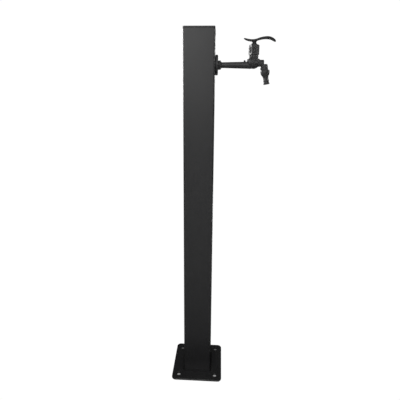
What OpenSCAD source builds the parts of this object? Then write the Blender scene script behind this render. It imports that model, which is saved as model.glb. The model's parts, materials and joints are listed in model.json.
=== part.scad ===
// Garden standpipe: a square steel post on a foot plate, with a lever tap near its top.
// Millimetres. The origin is the centre of the foot plate's underside, +Z is up,
// and the tap points along +X.

/* [Post] */
// Height from the ground to the top of the cap
overall_h = 1000; // [600:10:1400]
// Width of the square tube
post_side = 80; // [75:1:120]
// Wall of the tube
post_wall = 2; // [1.5:0.5:4]
// Outer corner radius of the tube
post_corner_r = 3; // [1:0.5:8]

/* [Foot plate] */
// Width of the square plate
plate_side = 150; // [135:5:250]
// Thickness of the plate
plate_t = 5; // [3:1:12]
// Corner radius of the plate
plate_corner_r = 12; // [3:1:20]
// Diameter of the four anchor holes
anchor_hole_d = 11; // [7:0.5:14]
// Distance between neighbouring anchor holes
anchor_pitch = 110; // [95:1:120]
// Leg of the fillet weld round the post
weld_leg = 3; // [2:0.5:5]

/* [Cap] */
// Thickness of the cap above the tube
cap_t = 5; // [3:0.5:10]
// How far the cap stands out past the tube's faces
cap_overhang = 0.5; // [0.2:0.1:2]
// Chamfer on the cap's upper edge
cap_chamfer = 1.2; // [0.4:0.2:2.4]
// Depth of the skirt inside the tube
cap_skirt_h = 18; // [12:1:30]
// Wall of the skirt
cap_skirt_wall = 2; // [1.2:0.2:3]
// Gap between the skirt and the tube, which the ribs fill
cap_skirt_gap = 1; // [0.6:0.2:2]
// Thickness of each gripping rib
cap_rib_t = 1.2; // [0.8:0.2:2]
// Number of gripping ribs
cap_rib_count = 3; // [1:1:4]

/* [Supply and riser] */
// Minor diameter of the supply thread in the foot
inlet_bore_d = 18.6; // [15:0.1:19]
// Depth of the supply thread
inlet_depth = 18; // [12:1:24]
// Outer diameter of the welded socket
socket_d = 27; // [25:0.5:32]
// Length of the thread that joins adapter and socket
adapter_thread_l = 14; // [10:1:20]
// Spanner size of the adapter and the compression nuts
fitting_af = 25.4; // [24:0.1:30]
// Height of the adapter's hexagon
adapter_hex_h = 6; // [4:0.5:10]
// Outer diameter of the riser pipe
pipe_d = 15; // [12:0.5:15.5]
// Wall of the riser pipe
pipe_wall = 0.7; // [0.5:0.1:1.5]
// Depth of the pipe in each compression fitting
pipe_depth = 14; // [11:1:20]
// Radial thickness of the sealing olives
olive_t = 2; // [1.4:0.2:2.4]
// Straight belt of each olive
olive_belt = 1; // [0.6:0.2:3]
// Outer diameter of the elbow at the riser's head
elbow_d = 27; // [25:0.5:32]
// Distance from the riser's axis to the end of the tap's tail
elbow_stop = 10; // [8:0.5:12]
// Distance from the riser's axis to the elbow's mouth
elbow_run = 22; // [19:0.5:24]
// Distance from the tap's axis down to the riser's end
elbow_drop = 16; // [14:0.5:24]

/* [Tap inlet] */
// Distance from the top of the cap down to the axis of the tap's arm
tap_drop = 87; // [80:1:200]
// Outer diameter of the pipe thread
thread_d = 20.96; // [19.5:0.01:21.2]
// Thickness of the washer inside the tube
washer_t = 1.5; // [1:0.5:3]
// Outer diameter of the washer inside the tube
washer_d = 34; // [29:1:44]
// Spanner size of the back nut
back_nut_af = 27; // [25:0.5:32]
// Thickness of the back nut
back_nut_t = 6; // [4:0.5:8]
// Thickness of the gasket behind the rosette
gasket_t = 1; // [0.5:0.5:3]
// Diameter of the rosette
rosette_d = 51; // [40:1:60]
// Thickness of the rosette
rosette_t = 7; // [5:0.5:12]
// Radius of the rosette's outer edge
rosette_edge_r = 2.5; // [1:0.5:4]
// Spanner size of the tap's hexagon
hex_af = 22; // [21.6:0.1:26]
// Length of the tap's hexagon
hex_l = 7; // [5:0.5:10]

/* [Tap body] */
// Distance from the post's face to the valve's axis
reach = 100; // [85:1:150]
// Diameter of the arm next to the hexagon
arm_root_d = 14.4; // [13:0.2:16]
// Diameter of the arm next to the valve
arm_end_d = 17.8; // [16.6:0.2:19]
// Diameter of the waterway in the arm
waterway_d = 8; // [6:0.5:8.5]
// Diameter of the round valve chamber
chamber_d = 33; // [30:0.2:36]
// Height of the chamber's centre above the arm's axis
chamber_rise = 7.5; // [7:0.5:9]
// Diameter of the neck above the chamber
neck_d = 22; // [20.8:0.2:22.6]
// Height of the neck's rim above the arm's axis
rim_rise = 24.5; // [24:0.5:28]
// Height of the outlet branch's axis above the arm's axis
branch_rise = 5; // [4:0.5:6]
// Diameter of the outlet branch
branch_d = 17; // [15.6:0.2:18]
// Distance from the valve's axis to the end of the outlet branch
branch_l = 26.8; // [25:0.1:34]
// Distance from the valve's axis to the outlet's axis
outlet_run = 27; // [24:0.5:35]
// Lean of the outlet away from the post, in degrees
outlet_tilt = 10; // [0:1:20]
// Diameter of the collar above the nozzle
collar_d = 18; // [17.4:0.1:20]
// Distance along the outlet to the collar's lower face
collar_end = 18; // [15:0.5:22]
// Diameter of the bead cast on top of the arm
bead_d = 5.2; // [3:0.2:6]

/* [Cartridge] */
// Outer diameter of the cartridge's sleeve
sleeve_d = 16.4; // [16:0.1:17]
// Diameter of the ceramic discs
disc_d = 13; // [12:0.1:13.2]
// Thickness of each ceramic disc
disc_t = 3; // [2:0.2:3.4]
// Thickness of the seal under the discs
seal_t = 1.8; // [1.4:0.2:2.2]
// Spanner size of the cartridge's hexagon
cartridge_af = 17; // [16.8:0.1:17.2]
// Height of the cartridge's hexagon
cartridge_hex_h = 6; // [4:0.5:8]
// Diameter of the spindle guide
guide_d = 12; // [11.4:0.1:12.6]
// Height of the guide's top above the rim
guide_h = 19.5; // [17:0.5:20]
// Diameter of the spindle
spindle_d = 7; // [6.4:0.1:7.4]
// Quarter turn between closed and open, in degrees
turn = 90; // [60:5:120]

/* [Bonnet] */
// Spanner size of the bonnet
bonnet_af = 23.3; // [22.5:0.1:25]
// Height of the bonnet
bonnet_h = 27; // [25.5:0.5:32]
// Height of the bonnet's sloping shoulder
bonnet_slope_h = 4.5; // [3:0.5:5]
// Diameter of the bonnet's top
bonnet_top_d = 15.4; // [14:0.1:18]

/* [Lever] */
// Diameter of the lever's hub
hub_d = 10.3; // [9.6:0.1:12]
// Height of the blade's lowest point above the hub's foot
hub_h = 8.5; // [8.2:0.1:14]
// Radius of the blade's curved tail
tail_r = 55; // [40:1:70]
// Angle of the tail, in degrees
tail_a = 25; // [15:1:32]
// Radius of the rising bend beside the hub
rise_r = 28; // [24:1:45]
// Steepest slope of the blade, in degrees
rise_a = 21; // [14:1:27]
// Radius of the bend towards the crest
crest_r = 73; // [45:1:85]
// Radius of the drooping end
tip_r = 29; // [22:1:40]
// Angle of the drooping end, in degrees
tip_a = 48; // [20:1:55]
// Width of the blade at the tail
tail_w = 7; // [5:0.5:11]
// Width of the blade at the hub
hub_w = 13.5; // [13.5:0.5:18]
// Width of the blade at the crest
crest_w = 14; // [10:0.5:20]
// Width of the blade at the tip
tip_w = 9.5; // [6:0.5:14]
// Thickness of the blade at the tail
tail_t = 2.5; // [2:0.1:4.5]
// Thickness of the blade at the hub
hub_t = 4.8; // [4.4:0.1:7]
// Thickness of the blade along its thin stretches
thin_t = 4.1; // [3.6:0.1:6]
// Thickness of the blade just past the crest
crest_t = 6; // [4.4:0.1:8]
// Thickness of the blade at the tip
tip_t = 4.6; // [3:0.1:7]

/* [Hose nozzle] */
// Outer diameter of the thread on the outlet
spigot_d = 16.66; // [15.6:0.01:17.2]
// Length of the thread on the outlet
spigot_l = 9.5; // [8:0.5:12]
// Diameter of the nozzle's nut
nozzle_d = 23.6; // [22.4:0.2:28]
// Straight length of the nozzle's nut
nozzle_nut_l = 7; // [5:0.5:9]
// Diameter of the nozzle where its hollow waist begins
nozzle_waist_d = 20.2; // [19.6:0.2:21.6]
// Length of the taper between the nut and the waist
nozzle_taper_l = 4.2; // [3.4:0.2:6]
// Diameter of the nozzle's neck
nozzle_neck_d = 13.8; // [12.5:0.1:14.4]
// Length of the hollow waist above the narrowest part of the neck
nozzle_flare_l = 9; // [7:0.1:10]
// Diameter of the first ring on the hose tail
tail_ring_d = 15.5; // [15:0.1:17]
// Diameter of the bead at the hose tail's end
tail_bead_d = 16; // [15:0.1:18]
// Length of the bead at the hose tail's end
tail_bead_l = 4; // [3:0.5:6]
// Length of the hose tail below the narrowest part of the neck
hose_tail_l = 15.2; // [14.4:0.2:27]
// Diameter of the nozzle's waterway
nozzle_bore_d = 9; // [7:0.5:9.5]
// Thickness of the washer in the nozzle
nozzle_washer_t = 1.5; // [1:0.1:2]

/* [Fits] */
// Radial clearance of turning and screwed fits
running_gap = 0.05; // [0.02:0.01:0.1]
// Clearance between faces that move past each other
lift_gap = 0.3; // [0.2:0.05:0.4]
// Clearance between a conical seat and what it holds
seat_gap = 0.2; // [0.1:0.05:0.4]
// Radial clearance of the tap's tail in the tube's wall
wall_hole_gap = 0.5; // [0.2:0.1:2]

/* [Hidden] */
$fn = 96;
// Length by which a cut runs past the face it opens
over = 0.5;
// Smallest inside corner of the tube
least_r = 0.5;
// Widest step of a wedge's outline, in degrees
sector_step_a = 30;

coat = "#2b2b2c";
black_plastic = "#1c1c1d";
brass = "#b5924c";
copper = "#b06a44";
rubber = "#222222";
steel = "#9a9da0";
ceramic = "#e9e6dd";

// Post
post_h = overall_h - plate_t - cap_t;
tube_top = plate_t + post_h;
post_face = post_side / 2;
post_inner = post_side - 2 * post_wall;
post_inner_r = max(post_corner_r - post_wall, least_r);
skirt_side = post_inner - 2 * cap_skirt_gap;
rib_side = post_inner - 2 * running_gap;

// Riser, from the foot up to the tap's axis
tap_z = overall_h - tap_drop;
pipe_r = pipe_d / 2;
pipe_seat_r = pipe_r + running_gap;
pipe_bore_d = pipe_d - 2 * pipe_wall;
adapter_stop = 2;
socket_relief = 2;
socket_h = inlet_depth + socket_relief + adapter_thread_l;
riser_foot = socket_h + adapter_hex_h - adapter_stop;
riser_head = tap_z - elbow_drop;
olive_foot = pipe_depth - olive_t + seat_gap;
nut_cone = olive_foot + olive_t + olive_belt;
nut_grip = 8;
nut_lip = 2;
nut_top = nut_cone + olive_t + nut_lip;
elbow_rim_w = 4;
elbow_rim_t = 1.5;
elbow_ball_t = 0.5;
elbow_step_t = 0.5;

// Tap inlet, measured from the post's face
hex_u = gasket_t + rosette_t;
arm_u = hex_u + hex_l;
tail_u = elbow_stop - post_face;
arm_flare_l = 3;
arm_flare_t = 2;
knee_back = 9;
bend_run = 14;
knee_u = reach - knee_back;
branch_u = reach + bend_run;
branch_end_u = reach + branch_l;
// How far the balls at the bends stand out of the pipes that they join
ball_t = 0.4;
// How far from a ball's centre the pipes that it joins end
ball_inset = 1.5;
// Depth below the neck's rim at which the chamber's sloping shoulder starts
shoulder_drop = 7;
bead_back = 23;
bead_lift = 1.2;
bead_u = reach - bead_back;
collar_start = 3;
collar_chamfer = 1.8;
// Solid metal left between the collar's upper face and the outlet's bore
collar_roof = 3.5;
// Distance along the outlet from the collar's upper face to where the waterway joins its bore
join_run = 5.5;

// Valve stack, measured up from the arm's axis
seat_port_d = 9;
seat_rise = 6;
cavity_d = 20;
cavity_drop = 8;
cavity_top = rim_rise - cavity_drop;
passage_lift = 3.5;
sleeve_lift = 0.5;
sleeve_foot = seat_rise + sleeve_lift;
disc_foot = seat_rise + seal_t;
moving_foot = disc_foot + disc_t + running_gap;
foot_depth = 1;
foot_w = 3;
foot_bar_h = 4;
spindle_foot = moving_foot + disc_t - foot_depth;
spindle_shoulder = moving_foot + disc_t + foot_bar_h;
sleeve_roof = spindle_shoulder + lift_gap;
sleeve_bore_d = disc_d + 2 * running_gap;
window_w = 8;
window_h = 5;
port_in_d = 3;
port_out_d = 10.6;
port_a = 80;
ring_cord_d = 1.2;
ring_groove_w = 1.7;
ring_groove_t = 1.25;
sleeve_ring_drop = 4.5;
sleeve_ring_rise = rim_rise - sleeve_ring_drop;
lower_ring_drop = 2;
upper_ring_lift = 4;
spindle_ring_rises = [rim_rise - lower_ring_drop, rim_rise + upper_ring_lift];
guide_top = rim_rise + guide_h;
stop_wall_h = 2;
stop_wall_t = 1.15;
stop_lug_a = 40;
stop_play_a = 2;
clip_t = 0.8;
clip_rise = guide_top + stop_wall_h + lift_gap;
clip_groove_t = 0.5;
clip_d = 10;
clip_gap_a = 40;
bonnet_top = rim_rise + bonnet_h;
bonnet_wall = 1.35;
bonnet_roof_h = 11;
bonnet_chamfer = 1.6;

// Lever, measured up from the hub's foot
lever_foot = bonnet_top + lift_gap;
spindle_grip = hub_h - lift_gap;
spindle_top = lever_foot + spindle_grip;
key_flat_t = 0.75;
flat_w = spindle_d - 2 * key_flat_t;
trough_x = -3.4;
screw_d = 4;
screw_rise = 4;
hub_flare_t = 1.6;
hub_flare_h = 4;
hub_foot_t = 1.85;
hub_foot_h = 3.5;
// How far past the bend the blade is thinnest, and past the crest it is thickest
thin_lag = 2;
crest_lag = 4;
end_round = 6;
end_least = 0.12;
lever_rings = 36;
lever_sides = 20;
blade_power = 0.8;

// Hose nozzle, measured along the outlet from the nut's upper face
nozzle_s = collar_end + lift_gap;
spigot_end = collar_end + spigot_l;
washer_s = spigot_end + running_gap;
nozzle_seat = washer_s + nozzle_washer_t + running_gap - nozzle_s;
outlet_bore_d = 7.5;
nozzle_chamfer = 0.8;
waist_n = nozzle_nut_l + nozzle_taper_l;
neck_n = waist_n + nozzle_flare_l;
nozzle_l = neck_n + hose_tail_l;
tail_ring_w = 3;
tail_ring_run = 6.4;
tail_ring_n = neck_n + tail_ring_run;

module along_x() {
    rotate([0, 90, 0]) children();
}

// Moves to the point on the post's face where the arm's axis leaves it
module at_tap() {
    translate([post_face, 0, tap_z]) children();
}

// Moves to the valve's axis, at a height above the arm's axis
module at_valve(rise = 0) {
    at_tap() translate([reach, 0, rise]) children();
}

// Moves to the start of the outlet's axis, with Z running down the outlet
module at_outlet(s = 0) {
    at_tap() translate([reach + outlet_run, 0, branch_rise]) rotate([0, 180 - outlet_tilt, 0])
        translate([0, 0, s]) children();
}

module rounded_square(side, r) {
    square([side, side - 2 * r], center = true);
    square([side - 2 * r, side], center = true);
    for (x = [-1, 1], y = [-1, 1])
        translate([x * (side / 2 - r), y * (side / 2 - r)]) circle(r);
}

module square_ring(outer, outer_r, inner, inner_r) {
    difference() {
        rounded_square(outer, outer_r);
        rounded_square(inner, inner_r);
    }
}

// Hexagonal prism with two flats square to Y
module hex_prism(af, h) {
    cylinder(d = af / cos(30), h = h, $fn = 6);
}

module ring(outer_d, inner_d, h) {
    difference() {
        cylinder(d = outer_d, h = h);
        translate([0, 0, -over]) cylinder(d = inner_d, h = h + 2 * over);
    }
}

// Straight rod or cone between two points of the plane y = 0
module rod(from, to, d1, d2) {
    run = to - from;
    translate([from[0], 0, from[1]]) rotate([0, atan2(run[0], run[1]), 0])
        cylinder(d1 = d1, d2 = d2, h = norm(run));
}

// Wedge of a circle, wide enough to cut through the valve's rings
module sector(start, sweep, h) {
    reach_r = cavity_d;
    steps = ceil(sweep / sector_step_a);
    linear_extrude(h) polygon(concat([[0, 0]], [for (i = [0 : steps])
        reach_r * [cos(start + sweep * i / steps), sin(start + sweep * i / steps)]]));
}

// Foot and post

module base_plate() {
    color(coat) difference() {
        linear_extrude(plate_t) rounded_square(plate_side, plate_corner_r);
        for (x = [-1, 1], y = [-1, 1]) translate([x * anchor_pitch / 2, y * anchor_pitch / 2, -over])
            cylinder(d = anchor_hole_d, h = plate_t + 2 * over);
        translate([0, 0, -over]) cylinder(d = socket_d + 2 * running_gap, h = plate_t + 2 * over);
    }
}

module post_tube() {
    color(coat) difference() {
        translate([0, 0, plate_t]) linear_extrude(post_h)
            square_ring(post_side, post_corner_r, post_inner, post_inner_r);
        translate([post_face - post_wall - over, 0, tap_z]) along_x()
            cylinder(d = thread_d + 2 * wall_hole_gap, h = post_wall + 2 * over);
    }
}

module base_weld() {
    straight = post_side - 2 * post_corner_r;
    section = [[0, 0], [weld_leg, 0], [0, weld_leg]];
    color(coat) translate([0, 0, plate_t]) for (quarter = [0 : 3]) rotate(90 * quarter) {
        translate([post_face, straight / 2, 0]) rotate([90, 0, 0])
            linear_extrude(straight) polygon(section);
        translate([straight / 2, straight / 2, 0]) rotate_extrude(angle = 90)
            translate([post_corner_r, 0]) polygon(section);
    }
}

module post_cap() {
    edge_r = post_corner_r + cap_overhang;
    corner = post_face - post_corner_r;
    rib_pitch = cap_skirt_h / (cap_rib_count + 1);
    color(black_plastic) {
        translate([0, 0, tube_top]) hull() for (x = [-1, 1], y = [-1, 1])
            translate([x * corner, y * corner, 0]) {
                cylinder(r = edge_r, h = cap_t - cap_chamfer, $fn = 32);
                cylinder(r = edge_r - cap_chamfer, h = cap_t, $fn = 32);
            }
        translate([0, 0, tube_top - cap_skirt_h]) linear_extrude(cap_skirt_h + over)
            square_ring(skirt_side, post_inner_r, skirt_side - 2 * cap_skirt_wall, post_inner_r);
        for (i = [1 : cap_rib_count])
            translate([0, 0, tube_top - cap_skirt_h + i * rib_pitch - cap_rib_t / 2])
                linear_extrude(cap_rib_t)
                    square_ring(rib_side, post_inner_r, skirt_side - cap_skirt_wall, post_inner_r);
    }
}

// Riser inside the post

// Space for the pipe and its olive, with the pipe's end at zero and the mouth above
module compression_space() {
    cylinder(r = pipe_seat_r, h = pipe_depth + over);
    translate([0, 0, pipe_depth - olive_t])
        cylinder(r1 = pipe_seat_r, r2 = pipe_seat_r + olive_t + over, h = olive_t + over);
}

module olive() {
    translate([0, 0, olive_foot]) rotate_extrude() translate([pipe_seat_r, 0])
        polygon([[0, 0], [olive_t, olive_t], [olive_t, olive_t + olive_belt],
                 [0, 2 * olive_t + olive_belt]]);
}

module compression_nut() {
    foot = pipe_depth - nut_grip;
    difference() {
        translate([0, 0, foot]) hex_prism(fitting_af, nut_top - foot);
        translate([0, 0, foot - over])
            cylinder(d = thread_d + 2 * running_gap, h = nut_cone - foot + over);
        translate([0, 0, nut_cone - over])
            cylinder(r1 = pipe_seat_r + olive_t + seat_gap + over, r2 = pipe_seat_r + seat_gap,
                     h = olive_t + over);
        cylinder(r = pipe_seat_r + seat_gap, h = nut_top + over);
    }
}

module at_riser_foot() {
    translate([0, 0, riser_foot]) children();
}

module at_riser_head() {
    translate([0, 0, riser_head]) mirror([0, 0, 1]) children();
}

module inlet_socket() {
    color(coat) difference() {
        cylinder(d = socket_d, h = socket_h);
        translate([0, 0, -over]) cylinder(d = inlet_bore_d, h = inlet_depth + 2 * over);
        translate([0, 0, inlet_depth])
            cylinder(d = thread_d + 2 * running_gap, h = socket_h - inlet_depth + over);
    }
}

module inlet_adapter() {
    thread_foot = socket_h - adapter_thread_l;
    color(brass) difference() {
        union() {
            translate([0, 0, thread_foot])
                cylinder(d = thread_d, h = riser_foot + pipe_depth - thread_foot);
            translate([0, 0, socket_h]) hex_prism(fitting_af, adapter_hex_h);
        }
        translate([0, 0, thread_foot - over])
            cylinder(d = pipe_bore_d, h = riser_foot - thread_foot + 2 * over);
        at_riser_foot() compression_space();
    }
}

module lower_compression_nut() {
    color(brass) at_riser_foot() compression_nut();
}

module lower_olive() {
    color(brass) at_riser_foot() olive();
}

module riser_pipe() {
    color(copper) at_riser_foot() ring(pipe_d, pipe_bore_d, riser_head - riser_foot);
}

module upper_compression_nut() {
    color(brass) at_riser_head() compression_nut();
}

module upper_olive() {
    color(brass) at_riser_head() olive();
}

module riser_elbow() {
    branch_h = elbow_drop + pipe_depth;
    color(brass) difference() {
        union() {
            translate([0, 0, tap_z]) {
                sphere(d = elbow_d + 2 * elbow_ball_t);
                along_x() cylinder(d = elbow_d, h = elbow_run);
                translate([elbow_run - elbow_rim_w, 0, 0]) along_x()
                    cylinder(d = elbow_d + 2 * elbow_rim_t, h = elbow_rim_w);
            }
            translate([0, 0, tap_z - branch_h]) cylinder(d = thread_d, h = branch_h);
        }
        translate([elbow_stop, 0, tap_z]) along_x()
            cylinder(d = thread_d + 2 * running_gap, h = elbow_run - elbow_stop + over);
        translate([0, 0, tap_z]) along_x()
            cylinder(d = pipe_bore_d - 2 * elbow_step_t, h = elbow_stop + over);
        translate([0, 0, riser_head - over]) cylinder(d = pipe_bore_d, h = elbow_drop + over);
        at_riser_head() compression_space();
    }
}

// Joint between post and tap

module inner_washer() {
    color(steel) at_tap() translate([-post_wall - washer_t, 0, 0]) along_x()
        ring(washer_d, thread_d + 2 * wall_hole_gap, washer_t);
}

module back_nut() {
    color(brass) at_tap() translate([-post_wall - washer_t - back_nut_t, 0, 0]) along_x()
        difference() {
            hex_prism(back_nut_af, back_nut_t);
            translate([0, 0, -over])
                cylinder(d = thread_d + 2 * running_gap, h = back_nut_t + 2 * over);
        }
}

module wall_gasket() {
    color(rubber) at_tap() along_x()
        ring(rosette_d - 2 * rosette_edge_r, thread_d + 2 * wall_hole_gap, gasket_t);
}

module wall_rosette() {
    outer_r = rosette_d / 2;
    inner_r = thread_d / 2 + running_gap;
    color(coat) at_tap() translate([gasket_t, 0, 0]) along_x() rotate_extrude() {
        translate([inner_r, 0]) square([outer_r - rosette_edge_r - inner_r, rosette_t]);
        translate([inner_r, 0]) square([outer_r - inner_r, rosette_t - rosette_edge_r]);
        translate([outer_r - rosette_edge_r, rosette_t - rosette_edge_r]) circle(rosette_edge_r);
    }
}

// Tap body

module arm() {
    arm_l = knee_u - ball_inset - arm_u;
    root_r = arm_root_d / 2;
    translate([arm_u, 0, 0]) along_x() rotate_extrude() polygon([
        [0, -over], [root_r + arm_flare_t, -over], [root_r + arm_flare_t, 0], [root_r, arm_flare_l],
        [arm_end_d / 2, arm_l], [0, arm_l]]);
}

// Ball chamber, cut to a sloping shoulder under its neck
module chamber() {
    ball_r = chamber_d / 2;
    neck_r = neck_d / 2;
    shoulder_top = rim_rise - shoulder_drop - chamber_rise;
    far_r = ball_r + over;
    translate([reach, 0, chamber_rise]) {
        intersection() {
            sphere(r = ball_r);
            rotate_extrude() polygon([
                [0, -far_r], [far_r, -far_r], [far_r, shoulder_top - far_r + neck_r],
                [neck_r, shoulder_top], [0, shoulder_top]]);
        }
        cylinder(r = neck_r, h = rim_rise - chamber_rise);
    }
}

// Sloping pipe and level branch that lead from the arm past the chamber, with a ball at each bend
module branch() {
    knee = [knee_u, 0];
    bend_at = [branch_u, branch_rise];
    inset = ball_inset * (bend_at - knee) / norm(bend_at - knee);
    level_u = branch_u + ball_inset;
    translate([knee_u, 0, 0]) sphere(d = arm_end_d + 2 * ball_t);
    rod(knee + inset, bend_at - inset, branch_d, branch_d);
    translate([branch_u, 0, branch_rise]) sphere(d = branch_d + 2 * ball_t);
    translate([level_u, 0, branch_rise]) along_x() cylinder(d = branch_d, h = branch_end_u - level_u);
}

module body_waterway() {
    join_s = collar_start + join_run;
    join = [reach + outlet_run + join_s * sin(outlet_tilt), branch_rise - join_s * cos(outlet_tilt)];
    translate([tail_u - over, 0, 0]) along_x()
        cylinder(d = waterway_d, h = reach + seat_port_d / 2 - tail_u);
    translate([reach, 0, 0]) {
        cylinder(d = seat_port_d, h = seat_rise + over);
        translate([0, 0, seat_rise]) cylinder(d = cavity_d, h = cavity_top - seat_rise);
        translate([0, 0, seat_rise])
            cylinder(d = sleeve_d + 2 * running_gap, h = rim_rise - seat_rise + over);
    }
    rod([reach + cavity_d / 4, seat_rise + passage_lift], join,
        outlet_bore_d - over, outlet_bore_d - over);
}

module tap_body() {
    bore_start = collar_start + collar_roof;
    color(coat) difference() {
        union() {
            at_tap() {
                translate([tail_u, 0, 0]) along_x() cylinder(d = thread_d, h = hex_u - tail_u + over);
                translate([hex_u, 0, 0]) along_x() rotate(90) hex_prism(hex_af, hex_l);
                arm();
                translate([bead_u, 0, arm_end_d / 2 + bead_lift]) sphere(d = bead_d);
                chamber();
                branch();
            }
            at_outlet(collar_start) rotate_extrude() polygon([
                [0, 0], [collar_d / 2 - collar_chamfer, 0], [collar_d / 2, collar_chamfer],
                [collar_d / 2, collar_end - collar_start], [0, collar_end - collar_start]]);
            at_outlet(collar_end - over) cylinder(d = spigot_d, h = spigot_l + over);
        }
        at_tap() body_waterway();
        at_outlet(bore_start) cylinder(d = outlet_bore_d, h = spigot_end + over - bore_start);
    }
}

// Cartridge

// Pair of opposite ports through a disc, at an angle about its axis
module disc_ports(angle) {
    for (side = [0, 180]) intersection() {
        translate([0, 0, -over]) ring(port_out_d, port_in_d, disc_t + 2 * over);
        translate([0, 0, -over]) sector(angle + side - port_a / 2, port_a, disc_t + 2 * over);
    }
}

module seat_seal() {
    color(rubber) at_valve(seat_rise) ring(disc_d, seat_port_d, seal_t);
}

module fixed_disc() {
    color(ceramic) at_valve(disc_foot) difference() {
        cylinder(d = disc_d, h = disc_t);
        disc_ports(0);
    }
}

module moving_disc() {
    color(ceramic) at_valve(moving_foot) difference() {
        cylinder(d = disc_d, h = disc_t);
        disc_ports(turn);
        translate([0, 0, disc_t]) cube([disc_d + over, foot_w + 2 * running_gap,
                                        2 * (foot_depth + running_gap)], center = true);
    }
}

// Sleeve with its windows, hexagon, spindle guide and stop wall
module cartridge_body() {
    free_a = turn + stop_lug_a + 2 * stop_play_a;
    wall_start = 180 + turn + stop_lug_a / 2 + stop_play_a;
    color(brass) difference() {
        union() {
            at_valve(sleeve_foot) cylinder(d = sleeve_d, h = rim_rise - sleeve_foot);
            at_valve(rim_rise) hex_prism(cartridge_af, cartridge_hex_h);
            at_valve(rim_rise) cylinder(d = guide_d, h = guide_h);
            at_valve(guide_top - over) intersection() {
                ring(guide_d, guide_d - 2 * stop_wall_t, stop_wall_h + over);
                sector(wall_start, 360 - free_a, stop_wall_h + over);
            }
        }
        at_valve(sleeve_foot - over)
            cylinder(d = sleeve_bore_d, h = sleeve_roof - sleeve_foot + over);
        at_valve() cylinder(d = spindle_d + 2 * running_gap, h = guide_top + over);
        at_valve(moving_foot + disc_t + window_h / 2 - foot_depth)
            cube([cavity_d, window_w, window_h], center = true);
        at_valve(sleeve_ring_rise - ring_groove_w / 2)
            ring(sleeve_d + 2 * over, sleeve_d - 2 * ring_groove_t, ring_groove_w);
    }
}

// Sealing ring whose outside is one running gap smaller than the bore
module o_ring(bore_d) {
    rotate_extrude() translate([bore_d / 2 - running_gap / 2 - ring_cord_d / 2, 0])
        circle(d = ring_cord_d);
}

module cartridge_o_ring() {
    color(rubber) at_valve(sleeve_ring_rise) o_ring(sleeve_d + 2 * running_gap);
}

module spindle() {
    color(brass) difference() {
        union() {
            at_valve(spindle_foot) intersection() {
                translate([-disc_d / 2, -foot_w / 2, 0])
                    cube([disc_d, foot_w, spindle_shoulder - spindle_foot]);
                cylinder(d = disc_d - 2 * running_gap, h = spindle_shoulder - spindle_foot);
            }
            at_valve(spindle_shoulder - over)
                cylinder(d = spindle_d, h = lever_foot - spindle_shoulder + over);
            at_valve(lever_foot - over) spindle_key(spindle_d, flat_w, spindle_grip + over);
        }
        for (rise = spindle_ring_rises) at_valve(rise - ring_groove_w / 2)
            ring(spindle_d + 2 * over, spindle_d - 2 * ring_groove_t, ring_groove_w);
        at_valve(clip_rise) ring(spindle_d + 2 * over, spindle_d - 2 * clip_groove_t, clip_t);
    }
}

// Round bar with two flats, which keys the lever to the spindle
module spindle_key(d, across, h) {
    intersection() {
        cylinder(d = d, h = h);
        translate([-d, -across / 2, 0]) cube([2 * d, across, h]);
    }
}

module spindle_o_rings() {
    color(rubber) for (rise = spindle_ring_rises)
        at_valve(rise) o_ring(spindle_d + 2 * running_gap);
}

// Ring on the spindle whose lug meets the stop wall at both ends of the turn
module stop_ring() {
    hub_ring_d = guide_d - 2 * stop_wall_t - 2 * lift_gap;
    foot = guide_top + running_gap;
    color(steel) at_valve(foot) difference() {
        union() {
            cylinder(d = hub_ring_d, h = stop_wall_h);
            intersection() {
                cylinder(d = guide_d - 2 * running_gap, h = stop_wall_h);
                sector(180 - stop_lug_a / 2, stop_lug_a, stop_wall_h);
            }
        }
        translate([0, 0, -over]) cylinder(d = spindle_d + 2 * running_gap, h = stop_wall_h + 2 * over);
    }
}

module spindle_circlip() {
    color(steel) at_valve(clip_rise) difference() {
        ring(clip_d, spindle_d - 2 * clip_groove_t, clip_t);
        translate([0, 0, -over]) sector(-clip_gap_a / 2, clip_gap_a, clip_t + 2 * over);
    }
}

// Six-sided cover with a chamfered foot and a sloping shoulder
module bonnet() {
    corner_r = bonnet_af / 2 / cos(30);
    wall_top = bonnet_h - bonnet_slope_h;
    color(coat) at_valve(rim_rise) difference() {
        intersection() {
            hex_prism(bonnet_af, bonnet_h);
            rotate_extrude() polygon([
                [0, 0], [corner_r - bonnet_chamfer, 0], [corner_r, bonnet_chamfer],
                [corner_r, wall_top], [bonnet_top_d / 2, bonnet_h], [0, bonnet_h]]);
        }
        translate([0, 0, -over])
            cylinder(d = bonnet_af - 2 * bonnet_wall, h = bonnet_h - bonnet_roof_h + over);
        cylinder(d = guide_d + 2 * running_gap, h = bonnet_h + over);
    }
}

// Lever

tail_l = tail_r * tail_a * PI / 180;
rise_l = rise_r * rise_a * PI / 180;
crest_l = crest_r * rise_a * PI / 180;
tip_l = tip_r * tip_a * PI / 180;
lever_l = tail_l + rise_l + crest_l + tip_l;
trough = [trough_x, hub_h];
bend = trough + rise_r * [sin(rise_a), 1 - cos(rise_a)];
crest = bend + crest_r * [sin(rise_a), 1 - cos(rise_a)];
tail_x = trough_x - tail_r * sin(tail_a);
tip_x = crest[0] + tip_r * sin(tip_a);

// Slope of the centreline in degrees, at a length along it from the tail
function blade_slope(s) =
    s < tail_l ? -tail_a * (1 - s / tail_l) :
    s < tail_l + rise_l ? rise_a * (s - tail_l) / rise_l :
    s < tail_l + rise_l + crest_l ? rise_a * (1 - (s - tail_l - rise_l) / crest_l) :
    -tip_a * (s - tail_l - rise_l - crest_l) / tip_l;

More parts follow.
